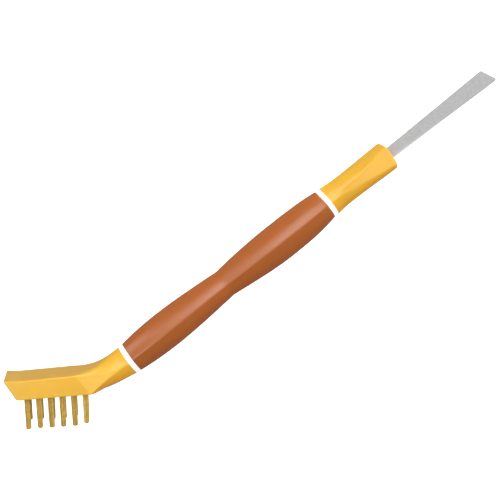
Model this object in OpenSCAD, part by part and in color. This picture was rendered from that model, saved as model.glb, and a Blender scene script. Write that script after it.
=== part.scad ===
// Crevice brush: twelve brass tufts in an angled head at one end of a waisted
// grip, and a flared steel scraper at the other end. Millimetres. The tool lies
// on its side: +X runs along the grip to the scraper, +Y to the back of the
// brush head, and the table is Z = 0. The tool's own frame, used by every module
// before place(), has X = 0 at the grip's head end, Y = 0 on the grip's axis and
// Z = 0 in the plane of symmetry.

/* [Grip] */
// Length of the grip between its two collars
grip_len = 88.6; // [76:0.2:110]
// Height of the grip, both collars and their joints at the grip's ends
end_h = 11.8; // [11.2:0.1:13]
// Distance of the waist from the head end of the grip
waist_at = 42.6; // [36:0.2:50]
// Height of the grip at its waist
waist_h = 10.7; // [9.5:0.1:12]
// Distance of the belly on the head side from the head end
head_belly_at = 15.7; // [10:0.1:24]
// Height of the belly on the head side
head_belly_h = 13.75; // [12:0.05:16]
// Distance of the belly on the scraper side from the head end
scraper_belly_at = 68; // [60:0.2:74]
// Height of the belly on the scraper side
scraper_belly_h = 14.35; // [12:0.05:16]
// How far the belly on the scraper side hangs below the grip's axis
scraper_belly_drop = 0.38; // [0:0.02:0.8]
// Width of the handle's sections for each millimetre of their height
width_per_height = 0.79; // [0.7:0.01:1]
// Steepness of the side ridge, in degrees: 0 makes the sections plain ellipses
ridge_angle = 40; // [10:1:55]

/* [Collars] */
// Width of each white collar
collar_w = 2; // [1:0.1:4]

/* [Spigots] */
// Diameter of the spigots that join the head and the blade holder to the grip
spigot_d = 6; // [4.5:0.1:6.4]
// Depth of each spigot inside the grip
spigot_depth = 14; // [8:0.5:20]
// Depth of the flat that keeps each spigot from turning
spigot_flat = 0.8; // [0.4:0.1:1.4]
// Gap left in the bottom of each socket for glue
glue_gap = 0.5; // [0.2:0.1:1.5]
// Clearance all round a part that sits in a hole, slot or socket
fit = 0.04; // [0.02:0.01:0.1]

/* [Brush head] */
// Width of the head, which is also how high the lying tool stands
head_w = 15; // [13.4:0.1:18]
// Run of the tuft block along X, from its nose to its heel
block_run = 20; // [20:0.1:24]
// Slope of the tuft block's underside, in degrees
block_slope = 35.4; // [28:0.2:42]
// Height of the flat nose
nose_h = 8.1; // [7:0.1:10]
// Height of the block above its heel
heel_h = 8.9; // [8:0.1:10]
// Height of the heel above the grip's axis
heel_y = 0.3; // [-0.6:0.1:1.6]
// Length of the neck from the collar to the heel
neck_len = 16.7; // [13:0.1:24]
// Height of the neck where it meets the collar
neck_end_h = 11.6; // [10.8:0.1:11.8]
// Rounding of the nose and of the underside's edges
head_edge = 0.5; // [0.3:0.1:0.9]
// Rounding of the block's top edges
top_edge = 0.6; // [0.4:0.1:1.5]

/* [Tufts] */
// Pitch of the tufts along a row
tuft_pitch = 4; // [3.2:0.05:4.04]
// Distance from the nose to the first tuft, along the underside
first_tuft = 2.95; // [2.2:0.05:3.2]
// Distance between the two rows
row_gap = 9; // [4:0.1:9]
// Diameter of a tuft
tuft_d = 2.1; // [1.4:0.05:2.15]
// Length of the longest tufts below the underside
tuft_len = 11.6; // [8:0.1:18]
// How much shorter the shortest tufts are
tuft_trim = 0.7; // [0:0.05:1.5]
// Depth of the tuft holes
hole_depth = 4; // [3:0.1:5]
// Wires shown in each tuft
wires = 28; // [25:1:28]
// Thickness of a wire
wire_d = 0.16; // [0.12:0.01:0.16]

/* [Tuft anchors] */
// Length of the flat wire anchor across a tuft hole
anchor_len = 2.7; // [2.3:0.1:3]
// Height of an anchor
anchor_h = 1.3; // [0.8:0.1:1.8]
// Thickness of an anchor
anchor_t = 0.35; // [0.25:0.05:0.5]
// Wire left under an anchor, in the fold of the tuft
anchor_lift = 0.3; // [0.2:0.05:0.6]

/* [Blade holder] */
// Length of the blade holder
holder_len = 27.5; // [22:0.5:40]
// Distance of the holder's waist from its collar
holder_waist_at = 9; // [6:0.5:14]
// Height of the holder at its waist
holder_waist_h = 10.6; // [9:0.1:12]
// Height of the holder at its outer end
holder_end_h = 10.9; // [9.4:0.1:13]
// Width of the holder at its outer end
holder_end_w = 11; // [9:0.1:13]
// Rounding of the holder's outer end
holder_edge = 1.2; // [0.6:0.1:1.8]

/* [Scraper blade] */
// Length of the blade outside its holder
blade_len = 49.5; // [35:0.5:80]
// Width of the blade where it leaves the holder
blade_root_w = 4.35; // [3.6:0.05:5.5]
// Width of the blade at its tip
blade_tip_w = 6.35; // [5.6:0.05:9]
// Thickness of the blade
blade_t = 1; // [0.6:0.1:1.6]
// How far the slanted end runs back from the tip to its upper corner
blade_slant = 3.2; // [1:0.1:6]
// Size of the clipped corner at the tip
tip_clip = 0.9; // [0.3:0.1:1.6]
// Width of the ground bevel along the slanted end
end_bevel_w = 1.3; // [0.6:0.1:3]
// Width of the ground bevel along the lower edge, at the root
edge_bevel_w = 1; // [0.4:0.1:1.4]
// Share of the blade's length over which the lower bevel fades out
edge_bevel_run = 0.8; // [0.4:0.05:0.95]
// Depth of the blade's tang in its slot
tang_len = 17; // [12:0.5:19]
// Width of the tang
tang_w = 3.6; // [3:0.1:5]
// Diameter of the moulded key through the tang
key_d = 1.8; // [1:0.1:2.2]

/* [Hidden] */

// Tufts in each of the two rows
tufts_per_row = 6;
// Points on each quarter of a loft ring
ring_steps = 8;
// Stations along each half of a grip lobe, the block, the neck and the holder
lobe_steps = 8;
block_steps = 4;
neck_steps = 14;
holder_steps = 14;
// Squareness of the block's corners and of the holder's outer end: 2 is round
block_squareness = 4;
holder_squareness = 5.5;
// Slopes of the grip's outline at its collars and at its waist
lobe_end_slope = 0.13;
waist_slope = 0.1;
// Slopes of the neck's back and belly, at the heel and at the collar
back_end_slope = 0.05;
belly_heel_slope = -0.85;
belly_end_slope = -0.26;
// Distance over which the head narrows, and the extra run of its straight back
narrowing_run = 22;
back_overrun = 1;
// The loft is a little wider than the block, which is then cut flat at its sides
side_crown = 0.1;
// Run behind the heel over which the keel under the neck takes its round form,
// and how fast the flat side above it falls
keel_run = 3;
shoulder_fall = 1.5;
// Heights kept below the ridge at the rounded nose, and of the side at the collar
least_keel = 0.05;
least_flat = 0.02;
// Slope of the holder's outline where it meets its collar
holder_start_slope = -0.16;
// Run over which the side ridge fades out on the holder, and the share of the
// holder's length from which its sections turn square
ridge_fade = 5;
squaring_start = 0.33;
// Place of the moulded key, as a share of the tang from the holder's end
key_back = 0.7;
// Shares of the blade's thickness: left at the cutting end, and ground off the
// lower edge at the root
end_land = 0.25;
edge_bevel_share = 0.35;
// Depth that each wire shares with the root of its tuft
wire_root = 0.3;
// Share of a wire's place and thickness kept at its cut end
wire_gather = 0.94;
wire_taper = 0.7;
// Uneven trim of single wires, and how much shorter a tuft's outermost wires are
wire_trim = 0.25;
tip_dome = 0.35;
// Sides of a tuft's root, and what is left of it outside the outermost wires
root_sides = 12;
wire_edge = 0.01;
// Turn of the spiral that spreads the wires over a tuft
golden_turn = 137.508;

end_r = end_h / 2;
neck_face = -collar_w;
heel_x = neck_face - neck_len;
nose_x = heel_x - block_run;
nose_y = heel_y + block_run * tan(block_slope);
back_bend_x = heel_x + back_overrun;
back_slope = (heel_h + heel_y - nose_h - nose_y) / block_run;
holder_x = grip_len + collar_w;
holder_end_x = holder_x + holder_len;
tip_x = holder_end_x + blade_len;
hole_d = tuft_d + 2 * fit;
// From the middle of a square wire to its corner, and from the middle of a tuft
// to its outermost wires, inside the flats of the root
wire_r = wire_d / sqrt(2);
wire_reach = tuft_d / 2 * cos(180 / root_sides) - wire_r - wire_edge;

// Curve through two heights with a slope at each, for t from 0 to 1 over a run
function hermite(t, run, y0, slope0, y1, slope1) =
  let (t2 = t * t, t3 = t2 * t)
  (2 * t3 - 3 * t2 + 1) * y0 + (t3 - 2 * t2 + t) * run * slope0
  + (3 * t2 - 2 * t3) * y1 + (t3 - t2) * run * slope1;
function ease(t) = let (u = min(1, max(0, t))) u * u * (3 - 2 * u);
function mix(a, b, t) = a + (b - a) * t;

// One point on a quarter section: t = 0 is the side ridge, t = 1 the crown
function quarter(t, w, h, squareness, ridge) =
  let (a = ridge + (90 - ridge) * t,
       c = cos(a) / cos(ridge),
       s = (sin(a) - sin(ridge)) / (1 - sin(ridge)))
  [w * pow(max(0, c), 2 / squareness), h * pow(max(0, s), 2 / squareness)];

function arc(w, h, squareness, ridge) =
  [for (i = [0 : ring_steps]) quarter(i / ring_steps, w, h, squareness, ridge)];

// A closed section at x: its ridges at height y and half a width out, the crown
// above and the keel below, each with its own squareness and steepness at the
// ridge. A flat side may stand between the ridge and the crown.
function ring(x, y, half_w, above, below, sq_above = 2, sq_below = 2,
              ridge_above = ridge_angle, ridge_below = ridge_angle, flat = 0) =
  let (keel = arc(half_w, below, sq_below, ridge_below),
       crown = arc(half_w, above - flat, sq_above, ridge_above),
       upper = concat(flat > 0 ? [[half_w, 0]] : [],
                      [for (p = crown) [p[0], p[1] + flat]]),
       last = len(upper) - 1)
  concat(
    [for (p = upper) [x, y + p[1], p[0]]],
    [for (i = [last - 1 : -1 : 0]) [x, y + upper[i][1], -upper[i][0]]],
    [for (i = [1 : ring_steps]) [x, y - keel[i][1], -keel[i][0]]],
    [for (i = [ring_steps - 1 : -1 : 1]) [x, y - keel[i][1], keel[i][0]]]);

// A closed skin over sections of equal count, from low x to high x
module loft(rings) {
  n = len(rings[0]);
  last = (len(rings) - 1) * n;
  polyhedron(
    points = [for (r = rings) each r],
    faces = concat(
      [[for (i = [0 : n - 1]) n - 1 - i]],
      [for (k = [0 : len(rings) - 2], i = [0 : n - 1])
        each let (a = k * n + i, b = k * n + (i + 1) % n)
          [[a, b, b + n], [a, b + n, a + n]]],
      [[for (i = [0 : n - 1]) last + i]]),
    convexity = 4);
}

// Grip outline: height of the crown (side = 1) or depth of the keel (side = -1)
function belly_r(at_head, side) =
  at_head ? head_belly_h / 2 : scraper_belly_h / 2 - side * scraper_belly_drop;
function grip_r(x, side) =
  x < head_belly_at
    ? hermite(x / head_belly_at, head_belly_at, end_r, lobe_end_slope,
              belly_r(true, side), 0)
  : x < waist_at
    ? hermite((x - head_belly_at) / (waist_at - head_belly_at),
              waist_at - head_belly_at, belly_r(true, side), 0,
              waist_h / 2, -waist_slope * 0.8)
  : x < scraper_belly_at
    ? hermite((x - waist_at) / (scraper_belly_at - waist_at),
              scraper_belly_at - waist_at, waist_h / 2, waist_slope * 1.2,
              belly_r(false, side), 0)
    : hermite((x - scraper_belly_at) / (grip_len - scraper_belly_at),
              grip_len - scraper_belly_at, belly_r(false, side), 0,
              end_r, -lobe_end_slope);
function grip_ring(x) =
  let (crown = grip_r(x, 1), keel = grip_r(x, -1))
  ring(x, 0, (crown + keel) / 2 * width_per_height, crown, keel);
grip_stops = [0, head_belly_at, waist_at, scraper_belly_at, grip_len];
grip_stations = [for (s = [0 : 3], i = [0 : lobe_steps - 1])
                   mix(grip_stops[s], grip_stops[s + 1], i / lobe_steps), grip_len];

// Head outline: back, underside with the neck's keel, side ridge, half width
function back_y(x) =
  x <= back_bend_x
    ? nose_y + nose_h + (x - nose_x) * back_slope
    : let (run = neck_face - back_bend_x)
      hermite((x - back_bend_x) / run, run,
              nose_y + nose_h + (back_bend_x - nose_x) * back_slope, back_slope,
              neck_end_h / 2, back_end_slope);
function under_y(x) =
  x <= heel_x
    ? heel_y + (heel_x - x) * tan(block_slope)
    : hermite((x - heel_x) / neck_len, neck_len, heel_y, belly_heel_slope,
              -neck_end_h / 2, belly_end_slope);
// How far the section at x has changed from the block's to the neck's
function neck_share(x) = (x - heel_x) / neck_len;
function ridge_y(x) =
  x <= heel_x
    ? under_y(x) + head_edge
    : mix(heel_y + head_edge, 0, ease(pow(neck_share(x), 2)));
function head_half_w(x) =
  mix(head_w / 2, neck_end_h / 2 * width_per_height,
      ease((x - neck_face + narrowing_run) / narrowing_run));
// Height of the flat side above the ridge: it runs out to a point at the collar
function flat_side(x) =
  let (block = back_y(x) - top_edge - ridge_y(x),
       at_heel = back_y(heel_x) - top_edge - ridge_y(heel_x))
  x <= heel_x ? block
              : max(least_flat,
                    min(block, at_heel * pow(1 - neck_share(x), shoulder_fall)));
function head_ring(x, inset = 0) =
  let (share = ease(neck_share(x)),
       early = ease((x - heel_x) / keel_run),
       y = ridge_y(x))
  ring(x, y, head_half_w(x) + side_crown * (1 - share) - inset,
       back_y(x) - inset - y, max(least_keel, y - under_y(x) - inset),
       mix(block_squareness, 2, share), mix(block_squareness, 2, early),
       ridge_angle * share, ridge_angle * early,
       min(flat_side(x), back_y(x) - inset - y - least_keel));
nose_round = [for (a = [0, 45, 90])
                [nose_x + head_edge * (1 - cos(a)), head_edge * (1 - sin(a))]];
head_rings = concat(
  [for (p = nose_round) head_ring(p[0], p[1])],
  [for (i = [1 : block_steps]) head_ring(mix(nose_x, heel_x, i / block_steps))],
  [for (i = [1 : neck_steps]) head_ring(mix(heel_x, neck_face, i / neck_steps))]);

// Blade holder outline
function holder_r(x) =
  x < holder_waist_at
    ? hermite(x / holder_waist_at, holder_waist_at, end_r, holder_start_slope,
              holder_waist_h / 2, 0)
    : mix(holder_waist_h / 2, holder_end_h / 2,
          ease((x - holder_waist_at) / (holder_len - holder_waist_at)));
function holder_ring(x, inset = 0) =
  let (along = x / holder_len,
       square = mix(2, holder_squareness,
                    ease((along - squaring_start) / (1 - squaring_start))),
       ridge = ridge_angle * (1 - ease(x / ridge_fade)))
  ring(holder_x + x, 0,
       mix(end_r * width_per_height, holder_end_w / 2, ease(along)) - inset,
       holder_r(x) - inset, holder_r(x) - inset,
       square, square, ridge, ridge);
holder_rings = concat(
  [for (i = [0 : holder_steps])
    holder_ring((holder_len - holder_edge) * i / holder_steps)],
  [for (a = [30, 60, 90])
    holder_ring(holder_len - holder_edge * (1 - sin(a)),
                holder_edge * (1 - cos(a)))]);

// Tuft places: the root of column i on the underside, and its length
function tuft_root(i, side) =
  let (s = first_tuft + i * tuft_pitch)
  [nose_x + s * cos(block_slope), nose_y - s * sin(block_slope), side * row_gap / 2];
function tuft_length(i, side) =
  tuft_len - tuft_trim * (1 - cos(83 * i + 78 + 40 * (1 - side))) / 2;
// Wire k of a tuft, in the tuft's frame: +Z runs out of the block
function wire_place(k) =
  let (r = wire_reach * sqrt((k + 0.5) / wires), a = k * golden_turn)
  [r * cos(a), r * sin(a)];
function wire_end(k, length) =
  length - wire_trim * (1 - cos(k * 97)) / 2
  - tip_dome * pow(norm(wire_place(k)) / wire_reach, 3);
function wire_points(k, length) =
  let (p = wire_place(k), a = k * golden_turn)
  [for (end = [0, 1], c = [0 : 3])
    let (r = wire_r * (end == 0 ? 1 : wire_taper),
         at = p * (end == 0 ? 1 : wire_gather))
    [at[0] + r * cos(a + 90 * c), at[1] + r * sin(a + 90 * c),
     end == 0 ? -wire_root : wire_end(k, length)]];
// A tuft-frame point in the tool's frame, for the overall box
function tuft_out(p, i, side) =
  let (root = tuft_root(i, side), s = sin(block_slope), c = cos(block_slope))
  [root[0] + p[0] * c - p[2] * s, root[1] - p[0] * s - p[2] * c, root[2] - p[1]];
wire_tips = [for (i = [0 : tufts_per_row - 1], side = [-1, 1], k = [0 : wires - 1],
                  p = wire_points(k, tuft_length(i, side))) tuft_out(p, i, side)];
grip_low_y = -max([for (x = grip_stations) grip_r(x, -1)]);
low_x = min(nose_x, min([for (p = wire_tips) p[0]]));
low_y = min(grip_low_y, min([for (p = wire_tips) p[1]]));
high_y = max([for (r = head_rings, p = r) p[1]]);
middle_x = (low_x + tip_x) / 2;
middle_y = (low_y + high_y) / 2;

// From the tool's own frame to the table, with the box centred on X and Y
module place() {
  translate([-middle_x, -middle_y, head_w / 2]) children();
}

// A round spigot with a flat, from x = 0 along +X
module spigot(length, clearance = 0) {
  r = spigot_d / 2 + clearance;
  rotate([0, 90, 0])
    difference() {
      cylinder(r = r, h = length, $fn = 64);
      translate([-r - spigot_d, -spigot_d, -1])
        cube([spigot_d + spigot_flat, 2 * spigot_d, length + 2]);
    }
}

// Moves children onto the root of a tuft, +Z out of the block
module at_tuft(i, side) {
  translate(tuft_root(i, side)) rotate([0, 0, -block_slope]) rotate([90, 0, 0])
    children();
}

module anchor(clearance = 0) {
  w = anchor_len + 2 * clearance;
  t = anchor_t + 2 * clearance;
  h = anchor_h + 2 * clearance;
  translate([-w / 2, -t / 2, anchor_lift - hole_depth - clearance]) cube([w, t, h]);
}

module brush_head() {
  overhang = 1;
  color("goldenrod") place() {
    difference() {
      intersection() {
        loft(head_rings);
        translate([nose_x - overhang, -end_h, -head_w / 2])
          cube([-nose_x + 2 * overhang, high_y + end_h + overhang, head_w]);
      }
      for (i = [0 : tufts_per_row - 1], side = [-1, 1]) at_tuft(i, side) {
        translate([0, 0, -hole_depth])
          cylinder(d = hole_d, h = hole_depth + overhang, $fn = 32);
        anchor(fit);
      }
    }
    translate([neck_face, 0, 0]) spigot(collar_w + spigot_depth);
  }
}

// Wires fused to the folded root that fills the tuft's hole
module tuft(i, side) {
  length = tuft_length(i, side);
  color("darkkhaki") place() at_tuft(i, side) difference() {
    union() {
      translate([0, 0, -hole_depth]) cylinder(d = tuft_d, h = hole_depth, $fn = root_sides);
      polyhedron(
        points = [for (k = [0 : wires - 1]) each wire_points(k, length)],
        faces = [for (k = [0 : wires - 1]) let (b = 8 * k) each concat(
          [[b, b + 1, b + 2], [b, b + 2, b + 3],
           [b + 6, b + 5, b + 4], [b + 7, b + 6, b + 4]],
          [for (c = [0 : 3]) each let (d = (c + 1) % 4)
            [[b + c, b + 4 + c, b + 4 + d], [b + c, b + 4 + d, b + d]]])],
        convexity = 6);
    }
    anchor(fit);
  }
}

module tuft_anchors() {
  color("gray") place()
    for (i = [0 : tufts_per_row - 1], side = [-1, 1]) at_tuft(i, side) anchor();
}

// A thin slice of the grip's end section, bored for a spigot
module collar(x) {
  color("white") place() translate([x, 0, 0]) difference() {
    loft([for (s = [0, collar_w])
            ring(s, 0, end_r * width_per_height, end_r, end_r)]);
    translate([-collar_w, 0, 0]) spigot(3 * collar_w, fit);
  }
}
module head_collar() { collar(-collar_w); }
module blade_collar() { collar(grip_len); }

module grip() {
  socket = spigot_depth + glue_gap;
  color("sienna") place() difference() {
    loft([for (x = grip_stations) grip_ring(x)]);
    translate([-collar_w, 0, 0]) spigot(collar_w + socket, fit);
    translate([grip_len - socket, 0, 0]) spigot(socket + collar_w, fit);
  }
}

// Outline of the blade with its tang, x measured from the holder's outer end
function edge_y(x, side) =
  side * mix(blade_root_w, blade_tip_w, x / blade_len) / 2;
module blade_outline() {
  polygon([[-tang_len, -tang_w / 2], [-tang_len, tang_w / 2], [0, tang_w / 2],
           [0, blade_root_w / 2],
           [blade_len - blade_slant, edge_y(blade_len - blade_slant, 1)],
           [blade_len, edge_y(blade_len, -1) + tip_clip / 2],
           [blade_len - tip_clip, edge_y(blade_len - tip_clip, -1)],
           [0, -blade_root_w / 2], [0, -tang_w / 2]]);
}

module blade_holder() {
  key_x = holder_end_x - tang_len * key_back;
  color("goldenrod") place() {
    difference() {
      loft(holder_rings);
      translate([holder_end_x - tang_len - fit, -tang_w / 2 - fit, -blade_t / 2 - fit])
        cube([2 * tang_len, tang_w + 2 * fit, blade_t + 2 * fit]);
    }
    translate([key_x, 0, -blade_t]) cylinder(d = key_d, h = 2 * blade_t, $fn = 32);
    translate([holder_x, 0, 0]) mirror([1, 0, 0]) spigot(collar_w + spigot_depth);
  }
}

// What a grinder takes off the upper face beyond a line that starts at a point
// and runs away at an angle, with the slope falling to the line's right
module ground(from, along, slope, length, reach) {
  translate([from[0], from[1], blade_t / 2]) rotate([0, 0, along - 90])
    rotate([0, slope, 0]) cube([reach, length, blade_t * 2]);
}

module scraper_blade() {
  upper = [blade_len - blade_slant, edge_y(blade_len - blade_slant, 1)];
  lower = [blade_len, edge_y(blade_len, -1) + tip_clip / 2];
  end_along = atan2(upper[1] - lower[1], upper[0] - lower[0]);
  end_slope = atan(blade_t * (1 - end_land) / end_bevel_w);
  end_back = [-cos(end_along - 90), -sin(end_along - 90)] * end_bevel_w;
  overrun = 2 * end_bevel_w;
  end_from = lower + end_back - overrun * [cos(end_along), sin(end_along)];
  fade = blade_len * edge_bevel_run;
  edge_from = [0, edge_y(0, -1) + edge_bevel_w];
  edge_along = atan2(edge_y(fade, -1) - edge_from[1], fade);
  edge_slope = atan(blade_t * edge_bevel_share / edge_bevel_w);
  color("silver") place() translate([holder_end_x, 0, 0]) difference() {
    translate([0, 0, -blade_t / 2]) linear_extrude(blade_t) blade_outline();
    translate([key_back * -tang_len, 0, -blade_t])
      cylinder(d = key_d + 2 * fit, h = 2 * blade_t, $fn = 32);
    ground(end_from, end_along, end_slope, norm(upper - lower) + 2 * overrun,
           2 * overrun);
    ground(edge_from, edge_along, edge_slope, blade_len, blade_tip_w);
  }
}

brush_head();
tuft(0, 1);  // tuft_near_1
tuft(1, 1);  // tuft_near_2
tuft(2, 1);  // tuft_near_3
tuft(3, 1);  // tuft_near_4
tuft(4, 1);  // tuft_near_5
tuft(5, 1);  // tuft_near_6
tuft(0, -1);  // tuft_far_1
tuft(1, -1);  // tuft_far_2
tuft(2, -1);  // tuft_far_3
tuft(3, -1);  // tuft_far_4
tuft(4, -1);  // tuft_far_5
tuft(5, -1);  // tuft_far_6
tuft_anchors();
head_collar();
grip();
blade_collar();
blade_holder();
scraper_blade();
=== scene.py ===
import math
import random

import bmesh
import bpy
from mathutils import Matrix, Vector


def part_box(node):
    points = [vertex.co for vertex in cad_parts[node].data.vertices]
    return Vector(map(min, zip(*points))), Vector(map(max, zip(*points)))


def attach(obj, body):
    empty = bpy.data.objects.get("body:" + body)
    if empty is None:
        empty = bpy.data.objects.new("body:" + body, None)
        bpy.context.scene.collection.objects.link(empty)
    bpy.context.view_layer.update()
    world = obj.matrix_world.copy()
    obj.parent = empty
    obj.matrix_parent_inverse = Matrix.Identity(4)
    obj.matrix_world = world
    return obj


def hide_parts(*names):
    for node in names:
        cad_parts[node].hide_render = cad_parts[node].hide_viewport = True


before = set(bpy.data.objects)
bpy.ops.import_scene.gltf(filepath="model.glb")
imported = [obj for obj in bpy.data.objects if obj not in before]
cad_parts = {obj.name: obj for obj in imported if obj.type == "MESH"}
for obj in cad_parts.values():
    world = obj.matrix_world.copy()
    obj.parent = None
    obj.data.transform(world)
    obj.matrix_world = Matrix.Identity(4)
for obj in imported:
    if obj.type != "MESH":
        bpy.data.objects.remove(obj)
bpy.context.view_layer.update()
print("frame loaded")

mm = 0.001

# The tool's own frame, in millimetres: X = 0 at the grip's head end, Y = 0 on
# the grip's axis and Z = 0 in the plane of symmetry
gripLow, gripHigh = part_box("grip")
collarLow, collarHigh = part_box("head_collar")
toolOrigin = Vector((gripLow.x, (collarLow.y + collarHigh.y) / 2,
                     (collarLow.z + collarHigh.z) / 2))


def toRow(point):
    return toolOrigin + Vector(point) * mm


# Curve through two heights with a slope at each, for t from 0 to 1 over a run
def hermite(t, run, y0, slope0, y1, slope1):
    t2, t3 = t * t, t * t * t
    return ((2 * t3 - 3 * t2 + 1) * y0 + (t3 - 2 * t2 + t) * run * slope0
            + (3 * t2 - 2 * t3) * y1 + (t3 - t2) * run * slope1)


def ease(t):
    u = min(1, max(0, t))
    return u * u * (3 - 2 * u)


def mix(a, b, t):
    return a + (b - a) * t


section = dict(
    ridgeAngle=40,    # steepness of the side ridge, in degrees
    cornerSteps=20,   # points on each corner
    flatSteps=6,      # points on each flat
    leastFlat=0.02,   # width left to a flat, so that no two points meet
    arc=2,            # squareness of a corner that is an arc
    softPasses=1,     # smoothing of the side ridge
)


# A quarter section: a flat side up from the ridge, a corner and a flat top. A
# corner as large as the quarter makes it an arc. The ridge angle cuts off the
# arc's steep start, so that two quarters meet at an edge.
def quarter(w, h, cornerW, cornerH, ridge, squareness=section["arc"]):
    start = math.radians(ridge)
    flatW, flatH = w - cornerW, h - cornerH
    points = [(w, flatH * i / section["flatSteps"]) for i in range(section["flatSteps"])]
    for i in range(section["cornerSteps"] + 1):
        a = mix(start, math.pi / 2, i / section["cornerSteps"])
        c = max(0.0, math.cos(a) / math.cos(start))
        s = max(0.0, (math.sin(a) - math.sin(start)) / (1 - math.sin(start)))
        points.append((flatW + cornerW * c ** (2 / squareness),
                       flatH + cornerH * s ** (2 / squareness)))
    points += [(flatW * (1 - i / section["flatSteps"]), h)
               for i in range(1, section["flatSteps"] + 1)]
    return points


def softened(outline, corners):
    for _ in range(section["softPasses"]):
        fresh = list(outline)
        for corner in corners:
            for k in (-1, 0, 1):
                i = (corner + k) % len(outline)
                a, b, c = outline[i - 1], outline[i], outline[(i + 1) % len(outline)]
                fresh[i] = ((a[0] + 2 * b[0] + c[0]) / 4, (a[1] + 2 * b[1] + c[1]) / 4)
        outline = fresh
    return outline


# The two collars and what meets them lean a little. The lean fades over the
# reach. Each collar has its place on X and its shift on X for each unit of height.
askew = dict(reach=9, head=(-1, 0.045),
             blade=((gripHigh.x - gripLow.x) / mm + 1, -0.045))


def lean(x):
    return sum(amount * (1 - ease(abs(x - place) / askew["reach"]))
               for place, amount in (askew["head"], askew["blade"]))


# A closed section at x from a crown quarter above height y and a keel quarter
# below it
def ring(x, y, crown, keel):
    outline = crown + [(-w, h) for w, h in reversed(crown[:-1])]
    outline += [(-w, -h) for w, h in keel[1:]] + [(w, -h) for w, h in reversed(keel[1:-1])]
    outline = softened(outline, (0, 2 * (len(crown) - 1)))
    return [(x + lean(x) * (y + h), y + h, w) for w, h in outline]


# A section whose two quarters are arcs, as on the grip and its collars
def ovalRing(x, w, above, below):
    least = section["leastFlat"]
    ridge = section["ridgeAngle"]
    return ring(x, 0, quarter(w, above, w - least, above - least, ridge),
                quarter(w, below, w - least, below - least, ridge))


def newObject(name, mesh, material, node):
    mesh.materials.clear()
    mesh.materials.append(material)
    piece = bpy.data.objects.new(name, mesh)
    bpy.context.scene.collection.objects.link(piece)
    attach(piece, "root")
    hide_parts(node)
    return piece


def meshFrom(work, name, smoothAngle):
    mesh = bpy.data.meshes.new(name)
    work.to_mesh(mesh)
    work.free()
    mesh.shade_smooth()
    mesh.set_sharp_from_angle(angle=math.radians(smoothAngle))
    return mesh


# A closed skin over sections of equal count
def loft(rings):
    work = bmesh.new()
    rows = [[work.verts.new(toRow(p)) for p in r] for r in rings]
    count = len(rows[0])
    for a, b in zip(rows, rows[1:]):
        for i in range(count):
            j = (i + 1) % count
            work.faces.new((a[i], a[j], b[j], b[i]))
    work.faces.new(list(reversed(rows[0])))
    work.faces.new(rows[-1])
    if work.calc_volume(signed=True) < 0:
        bmesh.ops.reverse_faces(work, faces=work.faces)
    return work


# Presses what stands outside a plane flat onto it, along Z, with a clean crease.
# The two small lengths are in metres.
def pressFlat(work, point, normal, weld=1e-7, least=1e-8):
    bmesh.ops.bisect_plane(work, geom=work.verts[:] + work.edges[:] + work.faces[:],
                           dist=weld, plane_co=point, plane_no=normal)
    for vert in work.verts:
        height = (vert.co - point).dot(normal)
        if height > least:
            vert.co.z -= height / normal.z


def newGroup(name, inputs, outputs):
    group = bpy.data.node_groups.new(name, "ShaderNodeTree")
    for label in inputs:
        group.interface.new_socket(label, in_out="INPUT", socket_type="NodeSocketFloat")
    for label in outputs:
        group.interface.new_socket(label, in_out="OUTPUT", socket_type="NodeSocketFloat")
    enter = group.nodes.new("NodeGroupInput")
    leave = group.nodes.new("NodeGroupOutput")
    return group, enter, leave


def addNode(tree, kind, **settings):
    node = tree.nodes.new(kind)
    for key, value in settings.items():
        setattr(node, key, value)
    return node


def feed(tree, socket, value):
    if isinstance(value, (int, float, tuple)):
        socket.default_value = value
    else:
        tree.links.new(value, socket)


# How far a surface faces the table's -Y side, from 0 to 1: the mask for the plastics'
# painted shade
def buildShadeTint():
    group, enter, leave = newGroup("shadeTint", ["Start", "End"], ["Mask"])
    normal = addNode(group, "ShaderNodeNewGeometry")
    split = addNode(group, "ShaderNodeSeparateXYZ")
    group.links.new(normal.outputs["Normal"], split.inputs[0])
    down = addNode(group, "ShaderNodeMath", operation="MULTIPLY")
    group.links.new(split.outputs["Y"], down.inputs[0])
    down.inputs[1].default_value = -1
    span = addNode(group, "ShaderNodeMapRange", interpolation_type="SMOOTHSTEP")
    group.links.new(down.outputs[0], span.inputs["Value"])
    group.links.new(enter.outputs["Start"], span.inputs["From Min"])
    group.links.new(enter.outputs["End"], span.inputs["From Max"])
    group.links.new(span.outputs["Result"], leave.inputs["Mask"])
    return group


# Soft clouds and a fine grain, both from 0 to 1
def buildMottle():
    group, enter, leave = newGroup("mottle", ["Cloud Scale", "Grain Scale"],
                                   ["Cloud", "Grain"])
    place = addNode(group, "ShaderNodeTexCoord")
    for label, detail in (("Cloud", 3), ("Grain", 2)):
        noise = addNode(group, "ShaderNodeTexNoise")
        noise.inputs["Detail"].default_value = detail
        group.links.new(place.outputs["Object"], noise.inputs["Vector"])
        group.links.new(enter.outputs[label + " Scale"], noise.inputs["Scale"])
        group.links.new(noise.outputs[0], leave.inputs[label])
    return group


shadeTint = buildShadeTint()
mottle = buildMottle()


def newMaterial(name):
    material = bpy.data.materials.new(name)
    material.use_nodes = True
    tree = material.node_tree
    return material, tree, tree.nodes["Principled BSDF"]


def useGroup(tree, group, values):
    node = addNode(tree, "ShaderNodeGroup", node_tree=group)
    for key, value in values.items():
        node.inputs[key].default_value = value
    return node


def mixColours(tree, factor, a, b, blend="MIX"):
    node = addNode(tree, "ShaderNodeMix", data_type="RGBA", blend_type=blend)
    feed(tree, node.inputs[0], factor)
    feed(tree, node.inputs[6], a)
    feed(tree, node.inputs[7], b)
    return node.outputs[2]


# Where most values of a noise texture lie
noiseLow, noiseHigh = 0.3, 0.7


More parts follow.
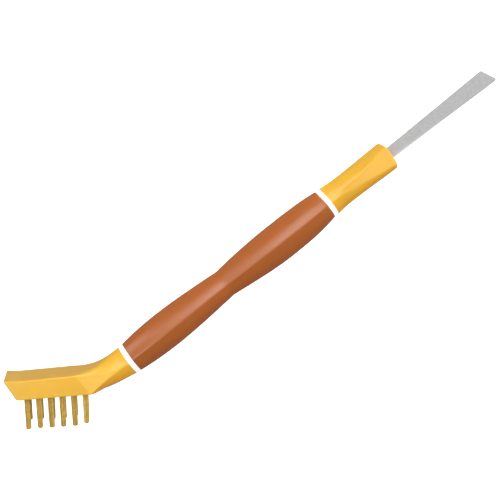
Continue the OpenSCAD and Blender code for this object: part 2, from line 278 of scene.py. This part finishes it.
def spread(tree, value, low, high, toLow=0.0, toHigh=1.0):
    node = addNode(tree, "ShaderNodeMapRange")
    feed(tree, node.inputs["Value"], value)
    node.inputs["From Min"].default_value = low
    node.inputs["From Max"].default_value = high
    node.inputs["To Min"].default_value = toLow
    node.inputs["To Max"].default_value = toHigh
    return node.outputs[0]


def addBump(tree, shader, height, depth):
    bump = addNode(tree, "ShaderNodeBump")
    bump.inputs["Distance"].default_value = depth
    tree.links.new(height, bump.inputs["Height"])
    tree.links.new(bump.outputs["Normal"], shader.inputs["Normal"])


# Moulded plastic: soft clouds and a fine grain, and painted shade, a deeper colour where it
# faces -Y.
# The amber scatters light inside, to depths in millimetres, and the white has a painted
# glow.
def plastic(name, look):
    material, tree, shader = newMaterial(name)
    marks = useGroup(tree, mottle, {"Cloud Scale": look["cloudScale"],
                                    "Grain Scale": look["grainScale"]})
    # Painted shade: the colour deepens where the surface faces -Y, the dimmer side
    tint = useGroup(tree, shadeTint, {"Start": look["tintStart"], "End": look["tintEnd"]})
    colour = mixColours(tree, tint.outputs["Mask"], look["colour"], look["paintedShade"])
    cloudy = spread(tree, marks.outputs["Cloud"], noiseLow, noiseHigh,
                    1 - look["cloud"], 1 + look["cloud"])
    grey = addNode(tree, "ShaderNodeCombineColor")
    for channel in range(3):
        tree.links.new(cloudy, grey.inputs[channel])
    colour = mixColours(tree, 1.0, colour, grey.outputs[0], "MULTIPLY")
    tree.links.new(colour, shader.inputs["Base Color"])
    shader.inputs["Roughness"].default_value = look["rough"]
    shader.inputs["IOR"].default_value = look["ior"]
    if "scatter" in look:
        shader.inputs["Subsurface Weight"].default_value = look["subsurface"]
        shader.inputs["Subsurface Radius"].default_value = look["scatter"]
        shader.inputs["Subsurface Scale"].default_value = mm
    # Painted light: a faint glow that keeps the white plastic white, though it is no lamp
    if "paintedGlow" in look:
        shader.inputs["Emission Color"].default_value = look["colour"]
        shader.inputs["Emission Strength"].default_value = look["paintedGlow"]
    addBump(tree, shader, marks.outputs["Grain"], look["grainDepth"])
    return material


# The second colour of each look is painted shade, used where the plastic faces -Y
amberLook = dict(
    colour=(0.915, 0.512, 0.048, 1), paintedShade=(1.0, 0.42, 0.025, 1),
    tintStart=0.2, tintEnd=0.95, cloudScale=160, grainScale=2600, cloud=0.02,
    rough=0.28, ior=1.5, subsurface=0.3, scatter=(3.5, 1.4, 0.2),
    grainDepth=0.004 * mm,
)
brownLook = dict(
    colour=(0.465, 0.134, 0.033, 1), paintedShade=(0.43, 0.098, 0.019, 1),
    tintStart=0.4, tintEnd=0.95, cloudScale=200, grainScale=3000, cloud=0.03,
    rough=0.25, ior=1.5, grainDepth=0.006 * mm,
)
whiteLook = dict(
    colour=(0.95, 0.95, 0.95, 1), paintedShade=(0.95, 0.95, 0.95, 1),
    tintStart=0.2, tintEnd=0.95, cloudScale=160, grainScale=2600, cloud=0.01,
    rough=0.35, ior=1.48, grainDepth=0.003 * mm, paintedGlow=0.4,
)


# Drawn wire: streaks, and a tone of its own for each wire
def wireBrass(look):
    material, tree, shader = newMaterial("drawnBrass")
    place = addNode(tree, "ShaderNodeTexCoord")
    streak = addNode(tree, "ShaderNodeTexNoise")
    streak.inputs["Scale"].default_value = look["streakScale"]
    streak.inputs["Detail"].default_value = look["streakDetail"]
    tree.links.new(place.outputs["Object"], streak.inputs["Vector"])
    tone = addNode(tree, "ShaderNodeAttribute", attribute_name="wireTone")
    both = addNode(tree, "ShaderNodeMath", operation="MULTIPLY_ADD")
    tree.links.new(tone.outputs["Fac"], both.inputs[0])
    both.inputs[1].default_value = look["toneShare"]
    tree.links.new(streak.outputs[0], both.inputs[2])
    level = spread(tree, both.outputs[0], look["low"], look["high"] + look["toneShare"])
    colour = mixColours(tree, level, look["dark"], look["bright"])
    tree.links.new(colour, shader.inputs["Base Color"])
    shader.inputs["Metallic"].default_value = look["metallic"]
    shader.inputs["Roughness"].default_value = look["rough"]
    addBump(tree, shader, streak.outputs[0], look["grainDepth"])
    return material


brassLook = dict(
    dark=(0.55, 0.34, 0.06, 1), bright=(1.0, 0.72, 0.18, 1), streakScale=900,
    streakDetail=4, toneShare=0.8, low=0.35, high=0.65, metallic=0.2, rough=0.45,
    grainDepth=0.008 * mm,
)


# Blasted steel, lighter where it faces -Y
def bladeSteel(look):
    material, tree, shader = newMaterial("blastedSteel")
    marks = useGroup(tree, mottle, {"Cloud Scale": look["cloudScale"],
                                    "Grain Scale": look["grainScale"]})
    level = spread(tree, marks.outputs["Grain"], noiseLow, noiseHigh)
    colour = mixColours(tree, level, look["dark"], look["bright"])
    tint = useGroup(tree, shadeTint, {"Start": look["tintStart"], "End": look["tintEnd"]})
    colour = mixColours(tree, tint.outputs["Mask"], colour, look["bevel"])
    tree.links.new(colour, shader.inputs["Base Color"])
    rough = spread(tree, marks.outputs["Cloud"], noiseLow, noiseHigh,
                   look["rough"] - look["roughSpread"], look["rough"] + look["roughSpread"])
    tree.links.new(rough, shader.inputs["Roughness"])
    shader.inputs["Metallic"].default_value = look["metallic"]
    addBump(tree, shader, marks.outputs["Grain"], look["grainDepth"])
    return material


steelLook = dict(
    dark=(0.42, 0.42, 0.42, 1), bright=(0.53, 0.53, 0.53, 1),
    bevel=(0.78, 0.78, 0.78, 1), tintStart=0.1, tintEnd=0.3, cloudScale=300,
    grainScale=1800, rough=0.5, roughSpread=0.05, metallic=0.3, grainDepth=0.008 * mm,
)

amberPlastic = plastic("amberPlastic", amberLook)
brownPlastic = plastic("brownPlastic", brownLook)
whitePlastic = plastic("whitePlastic", whiteLook)
brassWire = wireBrass(brassLook)
blastedSteel = bladeSteel(steelLook)
print("materials made")

# In millimetres: the radii at the ends, the two bellies and the waist, and the
# slopes there
grip = dict(
    length=(gripHigh.x - gripLow.x) / mm, endR=5.9, waistAt=42.6, waistR=5.35,
    headBellyAt=15.7, headBellyR=6.875, scraperBellyAt=68, scraperBellyR=7.175,
    scraperBellyDrop=0.38, widthPerHeight=0.79, endSlope=0.13, keelEndSlope=0.22,
    waistInSlope=-0.08, waistOutSlope=0.12, stations=26, edge=0.12, edgeTurn=0.3,
    smoothAngle=24,
)


# Height of the crown (side = 1) or depth of the keel (side = -1). Each stop is a
# place, a radius, and the slopes before and after it.
def gripR(x, side):
    g = grip
    tail = g["scraperBellyR"] - side * g["scraperBellyDrop"]
    endSlope = g["endSlope"] if side > 0 else g["keelEndSlope"]
    stops = [(0, g["endR"], g["endSlope"], g["endSlope"]),
             (g["headBellyAt"], g["headBellyR"], 0, 0),
             (g["waistAt"], g["waistR"], g["waistInSlope"], g["waistOutSlope"]),
             (g["scraperBellyAt"], tail, 0, 0),
             (g["length"], g["endR"], -endSlope, 0)]
    for a, b in zip(stops, stops[1:]):
        if x <= b[0]:
            run = b[0] - a[0]
            return hermite((x - a[0]) / run, run, a[1], a[3], b[1], b[2])
    return g["endR"]


def gripRing(x, inset=0.0):
    crown, keel = gripR(x, 1), gripR(x, -1)
    return ovalRing(x, (crown + keel) / 2 * grip["widthPerHeight"] - inset,
                    crown - inset, keel - inset)


def buildGrip():
    g = grip
    stops = [0, g["headBellyAt"], g["waistAt"], g["scraperBellyAt"], g["length"]]
    stations = [mix(a, b, i / g["stations"]) for a, b in zip(stops, stops[1:])
                for i in range(g["stations"])]
    edge = g["edge"]
    turn = edge * g["edgeTurn"]
    ends = [(0, edge), (turn, turn), (edge, 0)]
    rings = [gripRing(x, inset) for x, inset in ends]
    rings += [gripRing(x) for x in stations[1:]]
    rings += [gripRing(g["length"] - x, inset) for x, inset in reversed(ends)]
    mesh = meshFrom(loft(rings), "gripShell", g["smoothAngle"])
    newObject("gripShell", mesh, brownPlastic, "grip")


buildGrip()

collar = dict(width=1.75, edge=0.08, smoothAngle=24)


def buildCollar(name, x, node):
    r, edge = grip["endR"], collar["edge"]
    rings = []
    for at, inset in ((0, edge), (edge, 0), (collar["width"] - edge, 0),
                      (collar["width"], edge)):
        rings.append(ovalRing(x + at, r * grip["widthPerHeight"] - inset, r - inset,
                              r - inset))
    mesh = meshFrom(loft(rings), name, collar["smoothAngle"])
    newObject(name, mesh, whitePlastic, node)


buildCollar("headCollarRing", -collar["width"], "head_collar")
buildCollar("bladeCollarRing", grip["length"], "blade_collar")
print("grip and collars made")

head = dict(
    # the block: an underside sloped in degrees from the heel to the nose
    halfW=7.5, run=20.3, slope=35.4, noseH=8.3, heelH=8.9, heelY=0.3, edge=0.5,
    topEdge=0.55, noseLean=0.093, noseReach=6, noseArc=(0, 20, 45, 70, 90),
    # the neck: its back bends from the block's, its belly drops from the heel
    neckLen=16.95, neckEndR=5.8, narrowing=17.7, backOverrun=-0.5, backEndSlope=0.05,
    bellyHeelSlope=-0.85, bellyEndSlope=-0.26, keelRun=5.2, keelFill=0.98,
    leastKeel=0.05, shoulderFall=2.3, backFall=1.2,
    # the neck's flat side facet: two points of its crease with the block's flat
    # side, and its tip by the collar
    creaseTop=(-18.6, 8.0, 7.5), creaseHeel=(-18.6, 0.3, 7.5), facetTip=(-5.0, 0.9, 4.95),
    blockStations=24, neckStations=40, smoothAngle=30,
)
neckFace = -collar["width"]
heelX = neckFace - head["neckLen"]
noseX = heelX - head["run"]
slopeTan = math.tan(math.radians(head["slope"]))
noseY = head["heelY"] + head["run"] * slopeTan
backSlope = (head["heelH"] + head["heelY"] - head["noseH"] - noseY) / head["run"]
backBendX = heelX + head["backOverrun"]


def backY(x):
    if x <= backBendX:
        return noseY + head["noseH"] + (x - noseX) * backSlope
    run = neckFace - backBendX
    return hermite((x - backBendX) / run, run, backY(backBendX), backSlope,
                   head["neckEndR"], head["backEndSlope"])


def underY(x):
    if x <= heelX:
        return head["heelY"] + (heelX - x) * slopeTan
    return hermite((x - heelX) / head["neckLen"], head["neckLen"], head["heelY"],
                   head["bellyHeelSlope"], -head["neckEndR"], head["bellyEndSlope"])


def neckShare(x):
    return min(1, max(0, (x - heelX) / head["neckLen"]))


def ridgeY(x):
    if x <= heelX:
        return underY(x) + head["edge"]
    return mix(head["heelY"] + head["edge"], 0, ease(neckShare(x) ** 2))


def headRing(x, inset=0.0):
    # The block's flat side and back narrow to nothing along the neck
    share = ease(neckShare(x))
    early = ease((x - heelX) / head["keelRun"])
    y = ridgeY(x)
    halfW = mix(head["halfW"], head["neckEndR"] * grip["widthPerHeight"],
                ease((x - neckFace + head["narrowing"]) / head["narrowing"])) - inset
    above = backY(x) - inset - y
    atHeel = backY(heelX) - ridgeY(heelX) - head["topEdge"]
    flatSide = min(above - head["topEdge"],
                   atHeel * (1 - neckShare(x)) ** head["shoulderFall"])
    flatBack = (halfW - head["topEdge"]) * (1 - neckShare(x)) ** head["backFall"]
    least = section["leastFlat"]
    below = max(head["leastKeel"], y - underY(x) - inset)
    keelCornerW = mix(head["edge"], halfW - least, early)
    points = ring(x, y,
                  quarter(halfW, above, halfW - max(least, flatBack),
                          above - max(least, flatSide), section["ridgeAngle"] * share),
                  quarter(halfW, below, keelCornerW, below * head["keelFill"],
                          section["ridgeAngle"] * early))
    # The nose leans towards the neck as it rises
    back = head["noseLean"] * (1 - ease((x - noseX) / head["noseReach"]))
    return [(px + back * (py - noseY), py, pz) for px, py, pz in points]


def headRings():
    edge = head["edge"]
    rings = []
    for degrees in head["noseArc"]:
        a = math.radians(degrees)
        rings.append(headRing(noseX + edge * (1 - math.cos(a)), edge * (1 - math.sin(a))))
    n = head["blockStations"]
    rings += [headRing(mix(noseX + edge, heelX, i / n)) for i in range(1, n + 1)]
    n = head["neckStations"]
    return rings + [headRing(mix(heelX, neckFace, i / n)) for i in range(1, n + 1)]


tufts = dict(
    # the rows and the holes
    count=6, pitch=4, first=3.32, rowGap=9, holeD=2.18, holeDepth=4.0, drillRise=2,
    holeSteps=40,
    # the tufts' lengths: what is off each near one, the most that is off a far one,
    # and the swing that spreads it, in degrees
    length=11.5, nearTrim=(0.1, 0.2, -0.05, -0.1, -0.1, 0.5), farTrim=0.7,
    swingStart=158, swingStep=83,
    # the wires of a tuft, set out in a spiral
    diameter=2.1, depth=2.0, wires=61, wireD=0.17, wireSides=6, tipShare=0.85,
    gather=0.97, unevenness=0.25, dome=0.2, bend=0.05, bendAt=(0.3, 0.65),
    turn=137.508, seed=4, smoothAngle=50,
)


def tuftRoot(i, side):
    s = tufts["first"] + i * tufts["pitch"]
    a = math.radians(head["slope"])
    return Vector((noseX + s * math.cos(a), noseY - s * math.sin(a),
                   side * tufts["rowGap"] / 2))


# Turns +Z to the direction in which the tufts leave the block
tuftTurn = (Matrix.Rotation(math.radians(-head["slope"]), 3, "Z")
            @ Matrix.Rotation(math.radians(90), 3, "X"))


def drillHoles(piece):
    work = bmesh.new()
    for i in range(tufts["count"]):
        for side in (1, -1):
            made = bmesh.ops.create_cone(work, cap_ends=True, segments=tufts["holeSteps"],
                                         radius1=tufts["holeD"] / 2,
                                         radius2=tufts["holeD"] / 2,
                                         depth=tufts["holeDepth"] + tufts["drillRise"])
            middle = Vector((0, 0, (tufts["drillRise"] - tufts["holeDepth"]) / 2))
            for vert in made["verts"]:
                local = vert.co + middle
                vert.co = toRow(tuftRoot(i, side) + tuftTurn @ local)
    mesh = bpy.data.meshes.new("drills")
    work.to_mesh(mesh)
    work.free()
    drills = bpy.data.objects.new("drills", mesh)
    bpy.context.scene.collection.objects.link(drills)
    cut = piece.modifiers.new("tuftHoles", "BOOLEAN")
    cut.object = drills
    cut.solver = "EXACT"
    bpy.context.view_layer.update()
    seen = piece.evaluated_get(bpy.context.evaluated_depsgraph_get())
    drilled = bpy.data.meshes.new_from_object(seen)
    piece.modifiers.clear()
    piece.data = drilled
    bpy.data.objects.remove(drills)


def buildHead():
    work = loft(headRings())
    for side in (1, -1):
        a, b, c = (toRow((x, y, z * side)) for x, y, z in
                   (head["creaseTop"], head["creaseHeel"], head["facetTip"]))
        normal = (b - a).cross(c - a).normalized()
        if normal.z * side < 0:
            normal = -normal
        pressFlat(work, a, normal)
    mesh = meshFrom(work, "headShell", head["smoothAngle"])
    drillHoles(newObject("headShell", mesh, amberPlastic, "brush_head"))


buildHead()


def tuftLength(i, side):
    if side > 0:
        return tufts["length"] - tufts["nearTrim"][i]
    swing = math.cos(math.radians(tufts["swingStep"] * i + tufts["swingStart"]))
    return tufts["length"] - tufts["farTrim"] * (1 - swing) / 2


def buildTuft(name, i, side, node, draw):
    sides = tufts["wireSides"]
    work = bmesh.new()
    tone = work.verts.layers.float.new("wireTone")
    root = tuftRoot(i, side)
    reach = tufts["diameter"] / 2 - tufts["wireD"] / 2
    length = tuftLength(i, side)
    for k in range(tufts["wires"]):
        share = math.sqrt((k + 0.5) / tufts["wires"])
        a = math.radians(k * tufts["turn"])
        spot = Vector((math.cos(a), math.sin(a))) * reach * share
        end = length - draw.random() * tufts["unevenness"] - tufts["dome"] * share ** 3
        sway = Vector((draw.uniform(-1, 1), draw.uniform(-1, 1))) * tufts["bend"]
        shade = draw.random()
        rows = []
        for z in (-tufts["depth"], 0.0, *(end * at for at in tufts["bendAt"]), end):
            t = max(0.0, z / end)
            keep = mix(1, tufts["gather"], t)
            centre = spot * keep + sway * math.sin(math.pi * t)
            r = tufts["wireD"] / 2 * (tufts["tipShare"] if t == 1 else 1)
            row = []
            for c in range(sides):
                b = math.radians(360 * c / sides)
                local = Vector((centre.x + r * math.cos(b), centre.y + r * math.sin(b), z))
                vert = work.verts.new(toRow(root + tuftTurn @ local))
                vert[tone] = shade
                row.append(vert)
            rows.append(row)
        for p, q in zip(rows, rows[1:]):
            for c in range(sides):
                d = (c + 1) % sides
                work.faces.new((p[c], p[d], q[d], q[c]))
        work.faces.new(rows[-1])
        work.faces.new(list(reversed(rows[0])))
    mesh = meshFrom(work, name, tufts["smoothAngle"])
    newObject(name, mesh, brassWire, node)


draw = random.Random(tufts["seed"])
for i in range(tufts["count"]):
    for side, row in ((1, "near"), (-1, "far")):
        buildTuft(f"wires_{row}_{i + 1}", i, side, f"tuft_{row}_{i + 1}", draw)
print("head and tufts made")

holder = dict(
    start=grip["length"] + collar["width"], length=27.75, startSlope=-0.16, waistAt=9,
    waistR=5.35, endR=5.7, sideWaistAt=3.5, sideFullAt=19, sideWaist=4.4, endHalfW=5.5,
    # the section turns square towards the end, and its side ridge fades
    squaringStart=0.15, crownCornerH=1.5, crownSquareness=1.15, keelCornerH=2.8,
    keelSquareness=2, ridgeFade=9,
    edge=1.1, endArc=(15, 30, 45, 60, 75, 90), stations=50, smoothAngle=32,
)


def holderR(x):
    h = holder
    if x < h["waistAt"]:
        return hermite(x / h["waistAt"], h["waistAt"], grip["endR"], h["startSlope"],
                       h["waistR"], 0)
    return mix(h["waistR"], h["endR"],
               ease((x - h["waistAt"]) / (h["length"] - h["waistAt"])))


def holderHalfW(x):
    h = holder
    if x < h["sideWaistAt"]:
        return mix(grip["endR"] * grip["widthPerHeight"], h["sideWaist"],
                   ease(x / h["sideWaistAt"]))
    return mix(h["sideWaist"], h["endHalfW"],
               ease((x - h["sideWaistAt"]) / (h["sideFullAt"] - h["sideWaistAt"])))


def holderRing(x, inset=0.0):
    h = holder
    square = ease((x / h["length"] - h["squaringStart"]) / (1 - h["squaringStart"]))
    ridge = section["ridgeAngle"] * (1 - ease(x / h["ridgeFade"]))
    halfW, r = holderHalfW(x) - inset, holderR(x) - inset
    least = section["leastFlat"]
    crown, keel = (quarter(halfW, r, halfW - least,
                           mix(r - least, h[part + "CornerH"], square), ridge,
                           mix(section["arc"], h[part + "Squareness"], square))
                   for part in ("crown", "keel"))
    return ring(h["start"] + x, 0, crown, keel)


def buildHolder():
    h = holder
    n = h["stations"]
    rings = [holderRing((h["length"] - h["edge"]) * i / n) for i in range(n + 1)]
    for degrees in h["endArc"]:
        a = math.radians(degrees)
        rings.append(holderRing(h["length"] - h["edge"] * (1 - math.sin(a)),
                                h["edge"] * (1 - math.cos(a))))
    mesh = meshFrom(loft(rings), "holderShell", h["smoothAngle"])
    newObject("holderShell", mesh, amberPlastic, "blade_holder")


buildHolder()

# The blade and the anchors keep their CAD shape
for node in ("scraper_blade", "tuft_anchors"):
    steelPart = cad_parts[node]
    steelPart.data.materials.clear()
    steelPart.data.materials.append(blastedSteel)
print("holder and blade made")

# A pale table that shows white and neither lights the tool nor mirrors in it. It
# lies a little below the tool. Lengths in metres.
floorLook = dict(half=4.0, drop=0.0004, colour=(0.9, 0.9, 0.9, 1), rough=0.9, glow=1.2)


def buildFloor():
    half, drop = floorLook["half"], floorLook["drop"]
    mesh = bpy.data.meshes.new("paleFloor")
    mesh.from_pydata([(-half, -half, -drop), (half, -half, -drop), (half, half, -drop),
                      (-half, half, -drop)], [], [(0, 1, 2, 3)])
    floor = bpy.data.objects.new("paleFloor", mesh)
    bpy.context.scene.collection.objects.link(floor)
    material, tree, shader = newMaterial("paleFloor")
    shader.inputs["Base Color"].default_value = floorLook["colour"]
    shader.inputs["Roughness"].default_value = floorLook["rough"]
    shader.inputs["Emission Color"].default_value = (1, 1, 1, 1)
    shader.inputs["Emission Strength"].default_value = floorLook["glow"]
    mesh.materials.append(material)
    floor.visible_glossy = False
    floor.visible_diffuse = False


buildFloor()

# Where it stands and looks in the tool's own frame, with its roll in degrees. All
# its lengths are in millimetres.
camera = dict(spot=(38.56, 74.39, 322.86), aim=(56.93, 3.95, 0.0), roll=37.555,
              lens=66.17, sensor=36, near=10)


def buildCamera():
    data = bpy.data.cameras.new("photoCamera")
    data.lens = camera["lens"]
    data.sensor_width = camera["sensor"]
    data.clip_start = camera["near"] * mm
    piece = bpy.data.objects.new("photoCamera", data)
    bpy.context.scene.collection.objects.link(piece)
    spot, aim = toRow(camera["spot"]), toRow(camera["aim"])
    look = (aim - spot).normalized()
    upright = Vector((0, 1, 0))
    upright = (upright - look * upright.dot(look)).normalized()
    right = look.cross(upright)
    turn = math.radians(camera["roll"])
    up = upright * math.cos(turn) + right * math.sin(turn)
    right = look.cross(up)
    piece.matrix_world = Matrix((
        (right.x, up.x, -look.x, spot.x), (right.y, up.y, -look.y, spot.y),
        (right.z, up.z, -look.z, spot.z), (0, 0, 0, 1)))
    bpy.context.scene.camera = piece


buildCamera()

# Soft square panels round the tool: how far each stands over towards +X and
# towards +Y from straight above, in degrees, and its power in watts. Their
# distance, size and aim are in millimetres.
studio = dict(
    distance=700, size=310, aim=(40, 0, 0), above=0.0, below=0.33, blend=0.1,
    panels=dict(key=(17, 26, 1.15), keyLeft=(0, 28, 0.5), over=(-25, 8, 1.05),
                overFront=(12, -15, 0.62), farLeft=(-40, -15, 0.38),
                backLeft=(-25, 50, 1.0), rim=(50, 72, 2.6), frontRight=(50, -48, 2.1)),
)


def buildLights():
    aim = toRow(studio["aim"])
    for name, (towardX, towardY, power) in studio["panels"].items():
        data = bpy.data.lights.new(name + "Panel", "AREA")
        data.shape = "SQUARE"
        data.size = studio["size"] * mm
        data.energy = power
        piece = bpy.data.objects.new(name + "Panel", data)
        bpy.context.scene.collection.objects.link(piece)
        a, b = math.radians(towardX), math.radians(towardY)
        away = Vector((math.sin(a), math.cos(a) * math.sin(b), math.cos(a) * math.cos(b)))
        piece.location = aim + away * studio["distance"] * mm
        piece.rotation_euler = away.to_track_quat("Z", "Y").to_euler()


# The world shows white, and lights the tool from below only, as a pale table does
def buildWorld():
    world = bpy.data.worlds.new("studio")
    world.use_nodes = True
    tree = world.node_tree
    glow = tree.nodes["Background"]
    place = addNode(tree, "ShaderNodeTexCoord")
    split = addNode(tree, "ShaderNodeSeparateXYZ")
    tree.links.new(place.outputs["Generated"], split.inputs[0])
    strength = spread(tree, split.outputs["Z"], -studio["blend"], studio["blend"],
                      studio["below"], studio["above"])
    seen = addNode(tree, "ShaderNodeLightPath")
    shown = addNode(tree, "ShaderNodeMath", operation="MAXIMUM")
    tree.links.new(seen.outputs["Is Camera Ray"], shown.inputs[0])
    tree.links.new(strength, shown.inputs[1])
    tree.links.new(shown.outputs[0], glow.inputs["Strength"])
    glow.inputs["Color"].default_value = (1, 1, 1, 1)
    bpy.context.scene.world = world


buildLights()
buildWorld()
bpy.context.scene.view_settings.view_transform = "Standard"
print("stage, lights and camera set")
